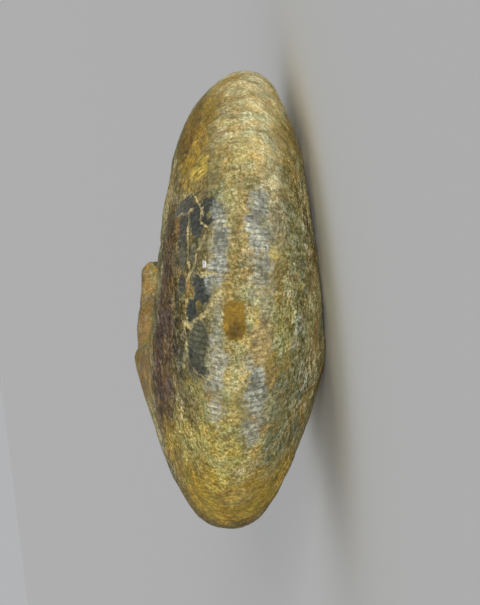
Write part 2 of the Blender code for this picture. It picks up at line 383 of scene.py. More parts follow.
def add_mouth(shell):
    """The broken face, from the outer whorl's edge to the surface of the whorl inside."""
    ahead = mouth_direction()
    shares = np.arange(1, MOUTH_ROWS) / MOUTH_ROWS
    inner_rows = np.rint(np.arange(SEAM_ROW + 1) * OUTER_ROWS / SEAM_ROW).astype(int)
    rim = [int(shell.ids[UPPER, 0, 0]), int(shell.ids[UPPER, COLUMNS, 0])]
    rim_middles = None
    for side in SIDES:
        edge = shell.ids[side, 0, : SEAM_ROW + 1]
        inside = shell.ids[side, COLUMNS, inner_rows]
        first = 0 if rim_middles is None else 1
        a, b = shell.points[edge[first:-1]], shell.points[inside[first:-1]]
        t = shares[:, None, None]
        points = a + (b - a) * t
        width = np.linalg.norm(b - a, axis=1)
        from_edge = np.minimum(shares[:, None], 1 - shares[:, None]) * width
        window = smoothstep(0, 2 * SHELL_WALL, from_edge)
        flat = points.reshape(-1, 3)
        coarse = rough(flat, STONE_SIZE, 3.0).reshape(window.shape)
        fine = rough(flat, STONE_SIZE / 4, 5.0).reshape(window.shape)
        sunk = MOUTH_HOLLOW * np.sin(np.pi * shares)[:, None] * np.clip(width / HOLLOW_WIDTH, 0, 1)
        out = -sunk + window * STONE_ROUGH * (coarse + 0.35 * fine)
        points = points + ahead * out[..., None]
        new = add_stone(shell, points.reshape(-1, 3)).reshape(window.shape)
        if rim_middles is None:
            rim_middles = new[:, 0]
        else:
            new = np.concatenate([rim_middles[:, None], new], axis=1)
        rows = [edge, *(np.append(row, edge[-1]) for row in new), inside]
        middle_width = float(np.linalg.norm(shell.points[rim[0]] - shell.points[rim[1]]))
        depths = [middle_width * k / MOUTH_ROWS for k in range(MOUTH_ROWS + 1)]
        for k in range(MOUTH_ROWS):
            add_stone_strip(shell, rows[k], rows[k + 1], side, (depths[k], depths[k + 1]))


def add_plugs(shell):
    """The stone that fills the innermost whorls, on each flank."""
    for side in SIDES:
        loop = [int(shell.ids[side, column, LAST_ROW]) for column in range(0, COLUMNS + 1, INNER_STEP)]
        loop += [int(shell.ids[side, COLUMNS, row]) for row in range(LAST_ROW - 1, LAST_ROW - TURN_ROWS, -1)]
        start = shell.points[loop]
        middle = np.array([0.0, 0.0, SIDES[side] * PLUG_HEIGHT])
        outer = np.array(loop)
        for ring in range(1, PLUG_RINGS + 1):
            share = ring / (PLUG_RINGS + 1)
            points = start + (middle - start) * share
            points[:, 2] += SIDES[side] * PLUG_ROUGH * rough(points, STONE_SIZE / 3, 7.0 + side)
            inner = add_stone(shell, points)
            add_stone_strip(shell, np.append(outer, outer[0]), np.append(inner, inner[0]), side, (DEEP, DEEP))
            outer = inner
        last = add_stone(shell, middle[None])
        centre = np.full(len(outer) + 1, last[0])
        add_stone_strip(shell, np.append(outer, outer[0]), centre, side, (DEEP, DEEP))


# -------- relief


def worn_spot(points):
    angle = np.degrees(np.arctan2(-points[:, 1], points[:, 0]))
    along = np.radians(angle - WORN_SPOT_ANGLE) * rim_radius(angle) / (WORN_SPOT_LENGTH / 2)
    across = (points[:, 2] - WORN_SPOT_HEIGHT) / (WORN_SPOT_WIDTH / 2)
    near = np.abs(angle - WORN_SPOT_ANGLE) < WORN_SPOT_REACH
    return np.where(near, np.exp(-((along**2 + across**2) ** 2)), 0.0)


def shell_relief(shell, points, bare):
    """How far each shell vertex stands out from the smooth shell."""
    uneven = np.array([noise.noise(Vector(p) / UNEVEN_SIZE) for p in points])
    lumps = rough(points, LUMP_SIZE, 1.0)
    crust = np.array([noise.noise(Vector(p) / CRUST_SIZE) for p in points])
    column = shell.places[:, 3].astype(int)
    profile = np.array(LINE_PROFILE)[column % COLUMNS_PER_LINE]
    line = column // COLUMNS_PER_LINE
    # each line has its own strength, and all are stronger in some places and on bare shell
    own = [0.65 + 0.5 * noise.noise(Vector((0.0, 0.37 * k, 0.0))) for k in range(line.max() + 1)]
    strength = np.array(own)[line]
    fraction = shell.places[:, 1]
    size = rim_radius(shell.places[:, 0]) / rim_radius(90.0)
    away = Vector((9, 0, 0))
    patchy = np.array([0.5 + 1.2 * noise.noise(Vector(p) / LINE_PATCH_SIZE + away) for p in points])
    lines = LINE_HEIGHT * size * profile * strength * (0.25 + 0.9 * bare) * np.clip(patchy, 0, 1)
    lines *= smoothstep(SEAM, SHOULDER, fraction)
    spot = worn_spot(points)
    return (
        UNEVEN_DEPTH * uneven
        + LUMP_HEIGHT * lumps * (1 - 0.6 * bare)
        + CRUST_HEIGHT * (crust * 0.5 - bare)
        + lines * (1 - spot)
        - WORN_SPOT_DEPTH * spot
    )


# -------- marks on the shell

# Colours of the crust, the shell and the stone, linear
PALE = (0.72, 0.61, 0.345)
BRIGHT = (0.60, 0.43, 0.07)
TAN = (0.41, 0.345, 0.155)
OCHRE = (0.34, 0.215, 0.025)
OCHRE_AND_SHADE = (0.21, 0.125, 0.012)
DRAB = (0.17, 0.13, 0.055)
YELLOW = (0.455, 0.375, 0.105)
AMBER = (0.50, 0.325, 0.036)
GOLD = (0.62, 0.51, 0.16)
ORANGE = (0.33, 0.19, 0.045)
PINK = (0.37, 0.265, 0.110)
BROWN = (0.075, 0.044, 0.016)
PURPLE = (0.105, 0.060, 0.036)
BUFF = (0.32, 0.20, 0.088)
STREAK = (0.17, 0.135, 0.075)
OLIVE = (0.26, 0.24, 0.108)
GREEN = (0.22, 0.23, 0.125)
SLATE = (0.024, 0.026, 0.020)
BLACK = (0.012, 0.011, 0.007)
# Painted sheen: the two silvery colours below are bare shell lightened by a painted highlight
SILVER_AND_SHEEN = (0.285, 0.295, 0.245)
PEARL_AND_SHEEN = (0.375, 0.385, 0.32)
TEAL = (0.020, 0.030, 0.026)
MOSS = (0.070, 0.072, 0.038)
SHADE = (0.085, 0.076, 0.034)
# Painted sheen over a pale crust: this frosty colour lies beside the rim where the shell catches the light
FROST_AND_SHEEN = (0.30, 0.275, 0.19)
UMBER = (0.13, 0.095, 0.035)
DUST = (0.19, 0.195, 0.145)
CHIP = (0.74, 0.76, 0.70)
LICHEN = (0.40, 0.39, 0.17)
# A sandy crust colour lightened with painted light, for the floor-facing lower flank
SAND_AND_FLANK_LIGHT = (0.45, 0.395, 0.18)
RUST = (0.19, 0.095, 0.025)
WORN = (0.27, 0.155, 0.014)
VEIN = (0.52, 0.42, 0.18)

# Broad zones, then patches over them: degrees along the coil, mm across, half-length in degrees, half-width
# in mm, colour, strength. Across is 0 on the rim and positive on the upper flank.
ZONES = (
    (18, -15, 16, 9, PALE, 0.9), (36, -18, 14, 7, TAN, 0.5), (30, -2, 34, 14, PALE, 0.9),
    (6, -3, 24, 13, PALE, 0.85), (46, 5, 16, 6, PINK, 0.4), (42, 22, 28, 11, OCHRE, 0.95),
    # painted light: the sandy zones on the lower flank, at -34, -44 and -16 mm, are lightened for the light
    # the floor keeps from it
    (47, -22, 20, 8, OCHRE, 0.4), (66, -34, 30, 11, SAND_AND_FLANK_LIGHT, 0.8), (66, 1, 24, 6, TAN, 0.55),
    (62, -10, 14, 7, PALE, 0.7), (86, 39, 28, 10, BROWN, 0.95), (130, 42, 42, 15, PURPLE, 0.95),
    (80, -24, 22, 12, OLIVE, 0.8), (112, -32, 30, 9, GREEN, 0.7), (105, -20, 8, 9, LICHEN, 0.8),
    (118, 14, 14, 12, OLIVE, 0.5), (143, 14, 22, 17, YELLOW, 0.85), (162, 4, 18, 22, AMBER, 0.9),
    (160, -18, 15, 12, AMBER, 0.8), (183, 2, 16, 38, DRAB, 0.8), (133, -15, 15, 7, GREEN, 0.85),
    (118, 0, 12, 5, TAN, 0.6), (196, 6, 10, 12, OLIVE, 0.5), (118, -44, 30, 10, SAND_AND_FLANK_LIGHT, 0.5),
    (215, 40, 45, 26, TAN, 0.6), (240, -30, 45, 24, OLIVE, 0.6), (-40, 20, 45, 24, OLIVE, 0.5),
    (196, -12, 16, 12, OCHRE, 0.6), (246, 66, 46, 17, BUFF, 0.9), (168, 60, 24, 9, BUFF, 0.8),
    (222, 12, 14, 14, YELLOW, 0.6), (250, 38, 14, 16, PURPLE, 0.7), (256, -10, 12, 12, PALE, 0.6),
    (232, -44, 16, 12, AMBER, 0.5), (-22, 20, 16, 9, AMBER, 0.6), (-52, -4, 20, 9, PALE, 0.7),
    (-74, 24, 14, 12, PURPLE, 0.5), (-30, -22, 18, 9, LICHEN, 0.6), (206, 30, 12, 9, SHADE, 0.6),
    (85, 28.5, 17, 6, SHADE, 0.95), (84, 17, 14, 7.5, SHADE, 0.95), (106, 17, 13, 7.5, SHADE, 0.9),
    (104, 29, 22, 5, UMBER, 0.8), (110, 28, 16, 6, SHADE, 0.85), (62, 33, 12, 5, DRAB, 0.7),
    # painted shade: the deep ochre zone at 33 degrees on the upper flank is partly darker ochre and partly
    # the light falling off there
    (85, 22, 14, 4, SHADE, 0.8), (33, 22, 14, 12, OCHRE_AND_SHADE, 0.85), (35, 12, 10, 6, OCHRE, 0.7),
    (22, 6, 5, 6, OCHRE, 0.7), (130, 21, 5.5, 9, DRAB, 0.75), (159, 30, 11, 8, AMBER, 0.8),
    (145, 20, 5.5, 8, GOLD, 0.75), (129, -16, 3, 4, SAND_AND_FLANK_LIGHT, 0.3), (78, 26, 11, 4.5, SLATE, 0.7),
    # painted sheen: the frosty zones either side of the rim, from 78 to 123 degrees, lighten the crust as a
    # highlight would
    (92, 2, 14, 3.5, DRAB, 0.45), (90, -3, 10, 3, DRAB, 0.4), (86, 8, 16, 4, FROST_AND_SHEEN, 0.9),
    (114, 8, 12, 4, FROST_AND_SHEEN, 0.8), (82, -6, 14, 5.5, FROST_AND_SHEEN, 0.9), (101, -1, 8, 4, OLIVE, 0.7),
    (123, -6, 12, 5, FROST_AND_SHEEN, 0.8), (78, -14, 12, 6, FROST_AND_SHEEN, 0.5),
)
PATCHES = (
    # the dark bare shell and what lies in it
    (69, 17, 2.4, 5.5, UMBER, 0.9), (64.5, 16, 2.2, 2.4, RUST, 0.5), (68.3, 27, 3.0, 6.6, SLATE, 0.9),
    (75.8, 18, 5.3, 5.2, SLATE, 0.97), (74.6, 12.9, 4.4, 4.4, SLATE, 0.97),
    (76.6, 27.6, 6.6, 2.4, BLACK, 0.9), (86.5, 27.5, 4.0, 2.8, MOSS, 0.8),
    (94.4, 27.6, 3.2, 2.8, BLACK, 0.95), (97, 28, 1.6, 2.2, MOSS, 0.8), (84.8, 20.3, 2.8, 1.9, MOSS, 0.7),
    (88, 15.3, 2.3, 3.0, UMBER, 0.8), (82.8, 13.6, 2.0, 3.2, TAN, 0.6), (95, 15.2, 4.6, 5.2, TEAL, 0.97),
    (101.0, 20.8, 3.6, 3.0, TEAL, 0.97), (99.9, 16.3, 1.7, 1.3, OCHRE, 0.8),
    (110.8, 16, 7.4, 5.4, MOSS, 0.95), (116.3, 13.3, 1.7, 4.4, SLATE, 0.55),
    (112.8, 19.6, 1.6, 1.4, SLATE, 0.7), (119, 19, 1.5, 1.8, SLATE, 0.7),
    (94.8, 22.6, 2.2, 1.5, ORANGE, 0.85), (74.5, 31.6, 4.0, 1.8, RUST, 0.85), (78, 23.6, 6.0, 0.8, TAN, 0.55),
    (129, 26, 2.4, 4.5, BROWN, 0.6), (87, 33.5, 4, 2.6, BROWN, 0.7),
    # silvery bare shell either side of the rim, lightened with painted sheen where the polished shell catches
    # the light
    (82, 7.6, 9, 3.0, SILVER_AND_SHEEN, 0.9), (91.5, 9, 4.0, 3.4, PEARL_AND_SHEEN, 0.75), (103, 8.2, 5, 2.2, SILVER_AND_SHEEN, 0.6),
    (114.5, 7, 5.6, 2.4, PEARL_AND_SHEEN, 0.7), (124, 8, 6, 3.4, PEARL_AND_SHEEN, 0.7), (79, -5.5, 8, 4.0, PEARL_AND_SHEEN, 0.9),
    (92, -5.5, 6, 3.2, SILVER_AND_SHEEN, 0.7), (121, -6, 6, 3.0, SILVER_AND_SHEEN, 0.9), (130, -5.5, 4, 2.8, PEARL_AND_SHEEN, 0.7),
    (111.5, -3.5, 2.5, 2, SILVER_AND_SHEEN, 0.7), (111.5, -25, 1.6, 3.2, SILVER_AND_SHEEN, 0.7), (78, -13, 7, 3.5, SILVER_AND_SHEEN, 0.5),
    (97, -9, 5, 3, SILVER_AND_SHEEN, 0.5),
    # a white chip, then crust patches
    (88.6, 13.0, 0.75, 1.0, CHIP, 0.95), (59, 17.5, 3.8, 5.6, BRIGHT, 0.9), (95, 4.2, 4.2, 2.2, OCHRE, 0.6),
    (75, 0.8, 9, 1.5, ORANGE, 0.5), (58, 0.5, 5, 2.6, YELLOW, 0.5), (85.5, -13.5, 1.9, 4.2, YELLOW, 0.75),
    (107.5, -7.3, 4.8, 4.6, PINK, 0.85), (116.5, -12.3, 3.4, 2.5, ORANGE, 0.65),
    (92, -23.5, 1.2, 3, ORANGE, 0.7), (95, -28.5, 1.8, 4, YELLOW, 0.6), (119, -46, 8, 4, ORANGE, 0.7),
    (130.5, -9.5, 1.2, 2.2, ORANGE, 0.7), (125, -13, 4.5, 3.5, GREEN, 0.7),
    (53.5, 13.5, 1.8, 2.6, UMBER, 0.5), (57, 10.5, 2.5, 1.2, UMBER, 0.5), (67, 9, 2, 2.5, UMBER, 0.4),
    # the far side
    (203, 31, 6, 4.5, SLATE, 0.9), (213, 27, 4, 3.5, MOSS, 0.9), (214, 4, 9, 4.4, SILVER_AND_SHEEN, 0.8),
    (236, -8, 8, 5, PEARL_AND_SHEEN, 0.7), (-40, 8, 8, 3.4, SILVER_AND_SHEEN, 0.8), (-60, 12, 7, 3.6, SLATE, 0.85),
    (186, -26, 5, 5, MOSS, 0.7), (246, -30, 6, 5, SLATE, 0.7),
    # ochre near the lower end
    (153, 0, 4, 6, OCHRE, 0.6), (162, 25, 7, 5, OCHRE, 0.7),
)
SILVERY_AND_SHEEN = (SILVER_AND_SHEEN, PEARL_AND_SHEEN)
BARE_COLOURS = (SLATE, BLACK, TEAL, MOSS, *SILVERY_AND_SHEEN)
BARE_BEND = 0.0020  # how far noise carries the edges of the mesh's own bare places
BARE_BEND_SIZE = 0.006
BARE_BEND_SEED = 1  # without it noise_vector's offsets would come from the time
BARE_EDGE = (1.25, 0.65)
FAINT_BARE_SIZE = 0.020

# Pale calcite veins: a width over the usual, then points as degrees along the coil and mm across
VEINS = (
    (1.0, (62, 31), (65, 25), (66, 21), (69, 18.5), (71.5, 17), (74.5, 15)),
    (1.8, (71.6, 21.5), (71.7, 24.5)),
    (1.6, (74, 23.4), (80, 24.2), (86, 23), (90, 22)),
    (1.9, (80.5, 13), (83, 15.5), (86.5, 17.8), (90, 20), (93.5, 23.8)),
    (1.5, (91.4, 17), (91.2, 14), (91, 9), (91.5, 4)),
    (2.7, (95.3, 7), (99, 9.8), (101.5, 13), (103, 16.5), (105, 20), (106.6, 25.5)),
    (1.4, (107, 24), (113, 22), (116, 20), (117.6, 16), (117.8, 11), (116, 8.5)),
    (1.0, (73, 15.5), (76, 17), (78, 14), (80, 12)),
)
VEIN_WIDTH = 0.00035
CROWN_UNTIL = 60.0  # degrees; the part of the rim at the top of the picture
MARK_BEND = 0.0042  # how far noise carries the edges of the marks


def half_length(angle, half_angle):
    """A patch's half-length along the rim, in metres."""
    return (rim_length(angle + half_angle) - rim_length(angle - half_angle)) / 2


def bare_shell(shell):
    """How free of crust each shell vertex is, 0 to 1."""
    bare = np.zeros(len(shell.places))
    along = rim_length(shell.places[:, 0])
    across = np.zeros(len(shell.places))
    for side in SIDES:
        across[shell.ids[side, :, : SEAM_ROW + 1]] = shell.across[side]
    points = shell.points[: len(bare)]
    noise.seed_set(BARE_BEND_SEED)
    warp = np.array([noise.noise_vector(Vector(p) / BARE_BEND_SIZE) for p in points])
    for angle, middle, length, width, colour, strength in PATCHES:
        if colour in BARE_COLOURS:
            a = (along + BARE_BEND * warp[:, 0] - rim_length(angle)) / half_length(angle, length)
            c = (across + BARE_BEND * warp[:, 1] - middle / 1000) / (width / 1000)
            bare = np.maximum(bare, strength * smoothstep(*BARE_EDGE, np.sqrt(a**2 + c**2)))
    faint = np.array([noise.noise(Vector(p) / FAINT_BARE_SIZE) for p in points])
    return np.maximum(bare, 0.5 * smoothstep(0.10, 0.45, faint))


# -------- node helpers


class Nodes:
    """Adds nodes to a tree. Their inputs are (name or number, value or socket)."""

    def __init__(self, tree):
        self.tree = tree

    def add(self, kind, inputs=(), output=0, **settings):
        made = self.tree.nodes.new(kind)
        for name, value in settings.items():
            setattr(made, name, value)
        for key, value in inputs:
            if isinstance(value, bpy.types.NodeSocket):
                self.tree.links.new(value, made.inputs[key])
            else:
                made.inputs[key].default_value = value
        return made.outputs[output]

    def maths(self, operation, *values):
        return self.add("ShaderNodeMath", enumerate(values), operation=operation)

    def vector(self, operation, *values, output=0):
        return self.add("ShaderNodeVectorMath", enumerate(values), output, operation=operation)

    def product(self, first, *others):
        for value in others:
            first = self.maths("MULTIPLY", first, value)
        return first

    def where_not(self, mask):
        return self.maths("SUBTRACT", 1.0, mask)

    def ramp(self, value, low, high, to_low=0.0, to_high=1.0):
        """The value carried smoothly from low..high to to_low..to_high, and level outside them."""
        names = ("Value", "From Min", "From Max", "To Min", "To Max")
        inputs = zip(names, (value, low, high, to_low, to_high))
        return self.add("ShaderNodeMapRange", inputs, interpolation_type="SMOOTHSTEP", clamp=False)

    def around(self, noise_value, spread, to_low, to_high):
        """A noise carried from the spread on either side of 0.5 to to_low..to_high."""
        return self.ramp(noise_value, 0.5 - spread, 0.5 + spread, to_low, to_high)

    def centred(self, noise_value, size):
        return self.product(self.maths("SUBTRACT", noise_value, 0.5), size)

    def noise_at(self, place, scale, detail, roughness, distortion=0.0, output=0):
        names = ("Vector", "Scale", "Detail", "Roughness", "Distortion")
        inputs = zip(names, (place, scale, detail, roughness, distortion))
        return self.add("ShaderNodeTexNoise", inputs, output)

    def xyz(self, *values):
        return self.add("ShaderNodeCombineXYZ", enumerate(values))

    def rgb(self, *values):
        return self.add("ShaderNodeCombineColor", enumerate(values))

    def grey(self, value):
        return self.rgb(value, value, value)

    def split(self, value, kind="Color"):
        return self.add("ShaderNodeSeparate" + kind, ((0, value),)).node.outputs

    def attribute(self, name, output=2):
        return self.add("ShaderNodeAttribute", (), output, attribute_name=name)

    def mix(self, factor, a, b, blend="MIX"):
        a, b = (c if isinstance(c, bpy.types.NodeSocket) else (*c, 1.0) for c in (a, b))
        inputs = ((0, factor), (6, a), (7, b))
        return self.add("ShaderNodeMix", inputs, 2, data_type="RGBA", blend_type=blend, clamp_factor=True)

    def tint(self, factor, colour, by):
        return self.mix(factor, colour, by, "MULTIPLY")


def make_group(name, vectors, floats, fill):
    """A node group with these inputs, whose one output fill(nodes, inputs) makes."""
    tree = bpy.data.node_groups.new(name, "ShaderNodeTree")
    for kind, sockets in (("NodeSocketVector", vectors), ("NodeSocketFloat", floats)):
        for socket in sockets:
            tree.interface.new_socket(socket, in_out="INPUT", socket_type=kind)
    tree.interface.new_socket("Value", in_out="OUTPUT", socket_type="NodeSocketFloat")
    start = tree.nodes.new("NodeGroupInput")
    end = tree.nodes.new("NodeGroupOutput")
    tree.links.new(fill(Nodes(tree), start.outputs), end.inputs[0])
    return tree


def patch_group():
    """1 well inside a blunt oval on the shell, 0 outside it."""

    def fill(n, inputs):
        away = n.vector("SUBTRACT", inputs["Place"], inputs["Centre"])
        away = n.vector("DIVIDE", away, inputs["Size"])
        squared = n.vector("MULTIPLY", away, away)
        oblong = n.maths("POWER", n.vector("DOT_PRODUCT", squared, squared, output=1), 0.25)
        oval = n.vector("LENGTH", away, output=1)
        distance = n.product(n.maths("ADD", oblong, oval), 0.5)
        distance = n.maths("ADD", distance, inputs["Ragged"])
        return n.product(n.ramp(distance, inputs["Outer"], inputs["Inner"]), inputs["Strength"])

    floats = ("Ragged", "Outer", "Inner", "Strength")
    return make_group("shell_patch", ("Place", "Centre", "Size"), floats, fill)


def vein_group():
    """The distance from a place on the shell to a stretch of vein."""

    def fill(n, inputs):
        to_place = n.vector("SUBTRACT", inputs["Place"], inputs["From"])
        stretch = n.vector("SUBTRACT", inputs["To"], inputs["From"])
        reach = n.vector("DOT_PRODUCT", to_place, stretch, output=1)
        length = n.vector("DOT_PRODUCT", stretch, stretch, output=1)
        share = n.maths("MAXIMUM", n.maths("DIVIDE", reach, length), 0.0)
        share = n.maths("MINIMUM", share, 1.0)
        nearest = n.add("ShaderNodeVectorMath", ((0, stretch), ("Scale", share)), operation="SCALE")
        return n.vector("DISTANCE", to_place, nearest, output=1)

    return make_group("vein_distance", ("Place", "From", "To"), (), fill)


# -------- materials

# How many lumps of each noise fit in a metre
COARSE_SCALE = 45.0
FIELD_SCALE = 130.0
PLATE_SCALE = 210.0
BEND_SCALE = 230.0
STONE_SCALE = 380.0
SCALY_SCALE = 420.0
GRAIN_SCALE = 850.0
GRIT_SCALE = 1700.0
STREAK_SCALE = (900.0, 140.0)  # along the coil and across it
DRIFT_SCALE = (520.0, 95.0)

# Where a mark starts and where it is full, over its half-size
ZONE_EDGE = (1.25, 0.55)
PATCH_EDGE = (1.10, 0.88)
SILVERY_SHEEN_EDGE = (1.30, 0.70)
WORN_EDGE = (1.12, 0.95)
STAIN_EDGE = (1.4, 0.5)

# How ragged its edge is, next to a zone's
PATCH_RAGGED = 0.8
SILVERY_SHEEN_RAGGED = 2.4
WORN_RAGGED = 0.35

# Multipliers that change a hue
OCHRE_TINT = (1.0, 0.78, 0.42)
COOL_TINT = (0.72, 0.80, 0.95)
PALE_TINT = (1.7, 1.75, 2.1)

PLATE_BEND = 0.012
DARKEST_GRAIN = 0.12
LINE_WANDER = 2.4  # in growth lines
LINE_PHASE = 1.9  # radians, which sets the furrows beside the raised lines, in the bump and as painted shade in the colour
WORN_SPOT_ACROSS = 1.6  # mm
STAIN_AHEAD = 2.6  # degrees
STAIN_SIZE = (0.0024, 0.0026)
STONE_DARK = (0.13, 0.095, 0.045)
STONE_PALE = (0.34, 0.275, 0.15)
CRUST_ROUGHNESS = 0.82
BARE_ROUGHNESS = 0.26


def place_vector(angle, across):
    return (float(rim_length(angle)), across / 1000, 0.0)


class ShellNodes(Nodes):
    """The shell's nodes, with the places and noises that its colours, gloss and bump share."""

    def __init__(self, tree):
        super().__init__(tree)
        self.patch = patch_group()
        self.where = self.add("ShaderNodeTexCoord", (), 3)  # the object's own coordinates
        self.along, self.across, self.line_number = self.split(self.attribute("coil", 1), "XYZ")
        self.off_rim = self.maths("ABSOLUTE", self.across)
        self.stone = self.attribute("stone")
        self.bare_near = self.attribute("bare")

        self.coarse = self.three_noises(COARSE_SCALE, 4.0, 0.55, 0.3)
        self.fields = self.three_noises(FIELD_SCALE, 7.0, 0.68, 0.2)
        self.bends = self.three_noises(BEND_SCALE, 4.0, 0.6)
        self.grains = self.three_noises(GRAIN_SCALE, 5.0, 0.78)
        self.grit = self.noise_at(self.where, GRIT_SCALE, 2.0, 0.7)
        self.streaks = self.stretched_noise(self.along, STREAK_SCALE, 4.0, 0.65)

        # The place on the coil, bent so that patches and veins have natural outlines
        self.bent_along = self.maths("ADD", self.along, self.centred(self.bends[0], MARK_BEND))
        bent_across = self.maths("ADD", self.across, self.centred(self.bends[1], MARK_BEND))
        self.place = self.xyz(self.bent_along, bent_across)
        self.ragged = self.maths("ADD", self.centred(self.fields[0], 1.7), self.centred(self.grains[0], 0.9))

        # The growth lines
        line = self.maths("ADD", self.line_number, self.centred(self.fields[2], LINE_WANDER))
        line = self.product(line, math.tau)
        line_wave = self.maths("SINE", self.maths("ADD", line, LINE_PHASE))
        self.fine_wave = self.maths("SINE", self.product(line, 2.0))
        self.furrow = self.ramp(line_wave, 0.10, 0.95, 0.12, -0.46)
        self.line_mask = self.product(
            self.ramp(self.fields[1], 0.40, 0.52, 0.2, 1.0), self.ramp(self.streaks, 0.38, 0.56, 0.3, 1.0))

    def three_noises(self, scale, detail, roughness, distortion=0.0):
        return self.split(self.noise_at(self.where, scale, detail, roughness, distortion, 1))

    def stretched_noise(self, along, scales, detail, roughness):
        place = self.xyz(self.product(along, scales[0]), self.product(self.across, scales[1]))
        return self.noise_at(place, 1.0, detail, roughness)

    def along_coil(self, first, last, to_first, to_last):
        """A value that changes smoothly between two angles of the coil."""
        return self.ramp(self.along, float(rim_length(first)), float(rim_length(last)), to_first, to_last)

    def mark(self, angle, across, half_size, ragged, edge, strength):
        """A mask that is full well inside a patch on the shell, whose half-size is in metres."""
        return self.add("ShaderNodeGroup", (
            ("Place", self.place), ("Centre", place_vector(angle, across)), ("Size", (*half_size, 1.0)),
            ("Ragged", ragged), ("Outer", edge[0]), ("Inner", edge[1]), ("Strength", strength),
        ), node_tree=self.patch)

    def listed_mark(self, angle, across, length, width, strength, ragged, edge):
        """The mask of a row of ZONES or PATCHES."""
        half_size = (float(half_length(angle, length)), width / 1000)
        return self.mark(angle, across, half_size, ragged, edge, strength)


def crust_colour(s):
    """The crust's broad drifts and zones, with thin brown streaks along the growth lines on the crown."""
    colour = s.mix(s.around(s.coarse[0], 0.10, 0.0, 1.0), OLIVE, TAN)
    colour = s.mix(s.ramp(s.fields[1], 0.50, 0.62, 0.0, 0.8), colour, OCHRE)
    for *size, zone_colour, strength in ZONES:
        colour = s.mix(s.listed_mark(*size, strength, s.ragged, ZONE_EDGE), colour, zone_colour)
    drifts = s.ramp(s.stretched_noise(s.bent_along, DRIFT_SCALE, 5.0, 0.7), 0.52, 0.60, 0.0, 0.5)
    on_crown = s.along_coil(CROWN_UNTIL - 14, CROWN_UNTIL + 20, 1.0, 0.25)
    return s.mix(s.product(drifts, on_crown), colour, STREAK)


def crust_shade(s):
    """The light and dark grain of the crust, as a multiplier."""
    shade = s.product(
        s.around(s.fields[0], 0.13, 0.82, 1.18),
        s.around(s.grains[1], 0.12, 0.50, 1.58),
        s.around(s.streaks, 0.20, 0.80, 1.20),
        s.around(s.grit, 0.14, 0.68, 1.42),
    )
    # scaly, most of all on the flanks
    scaly = s.around(s.noise_at(s.where, SCALY_SCALE, 4.0, 0.72), 0.12, 0.56, 1.46)
    flank = s.product(s.ramp(s.off_rim, 0.012, 0.030), s.ramp(s.off_rim, 0.046, 0.058, 1.0, 0.3))
    flank = s.maths("MAXIMUM", flank, 0.25)
    shade = s.product(shade, s.maths("MULTIPLY_ADD", s.maths("SUBTRACT", scaly, 1.0), flank, 1.0))
    # busier in some places than in others and on the flanks, plainer on the crown and by the upper umbilicus
    busy = s.product(
        s.around(s.coarse[2], 0.08, 0.68, 1.02),
        s.ramp(s.off_rim, 0.009, 0.026, 0.85, 1.38),
        s.along_coil(CROWN_UNTIL - 12, CROWN_UNTIL + 12, 0.72, 1.0),
        s.ramp(s.across, 0.048, 0.060, 1.0, 0.4),
    )
    shade = s.maths("MULTIPLY_ADD", s.maths("SUBTRACT", shade, 1.0), busy, 1.0)
    shade = s.maths("MAXIMUM", shade, DARKEST_GRAIN)
    # painted light: paler on the lower flank, which faces the floor and gets less light
    return s.product(shade, s.ramp(s.across, -0.008, -0.036, 1.0, 1.16))


def mottled(s, colour, shade):
    """The crust with its stains, plates, grain, specks and small changes of hue."""
    colour = s.tint(s.ramp(s.fields[2], 0.50, 0.64, 0.0, 0.42), colour, OCHRE_TINT)
    bend = s.xyz(*(s.centred(s.fields[k], PLATE_BEND) for k in (1, 2, 0)))
    plate_place = s.vector("ADD", s.where, bend)
    plates = s.split(s.add("ShaderNodeTexVoronoi", (("Vector", plate_place), ("Scale", PLATE_SCALE)), 1))
    colour = s.tint(1.0, colour, s.grey(s.ramp(plates[0], 0.1, 0.9, 0.80, 1.20)))
    colour = s.mix(s.ramp(plates[1], 0.55, 0.75, 0.0, 0.25), colour, OCHRE)
    colour = s.tint(s.ramp(s.coarse[1], 0.50, 0.62, 0.0, 0.3), colour, COOL_TINT)
    # light grain is whiter and dark grain warmer
    red = s.maths("POWER", shade, 0.95)
    blue = s.product(s.maths("POWER", shade, 1.6), 0.86)
    colour = s.tint(1.0, colour, s.rgb(red, shade, blue))
    colour = s.tint(s.ramp(s.grains[2], 0.57, 0.62, 0.0, 0.45), colour, PALE_TINT)
    colour = s.mix(s.ramp(s.grains[2], 0.43, 0.38, 0.0, 0.5), colour, BROWN)
    for value, start, full, strength, hue in (
        (s.bends[2], 0.52, 0.60, 0.8, (1.06, 0.96, 0.80)),
        (s.bends[2], 0.48, 0.40, 0.8, (0.90, 1.01, 1.10)),
        (s.grains[0], 0.53, 0.60, 0.3, (1.07, 1.0, 0.70)),
        (s.grains[0], 0.47, 0.40, 0.3, (0.90, 0.98, 1.35)),
    ):
        colour = s.tint(s.ramp(value, start, full, 0.0, strength), colour, hue)
    return colour


def bare_shade(s):
    """The bare shell's finer tone, with painted shade in the furrows beside its growth lines, as a grey
    multiplier.
    """
    line_strength = s.product(s.line_mask, s.ramp(s.bare_near, 0.2, 0.7, 0.15, 1.0))
    return s.grey(s.product(
        s.around(s.fields[1], 0.14, 0.60, 1.40),
        s.around(s.grains[1], 0.12, 0.55, 1.46),
        s.around(s.streaks, 0.14, 0.68, 1.36),
        # painted shade: darker in the furrows beside the raised growth lines
        s.maths("MULTIPLY_ADD", s.furrow, line_strength, 1.0),
    ))


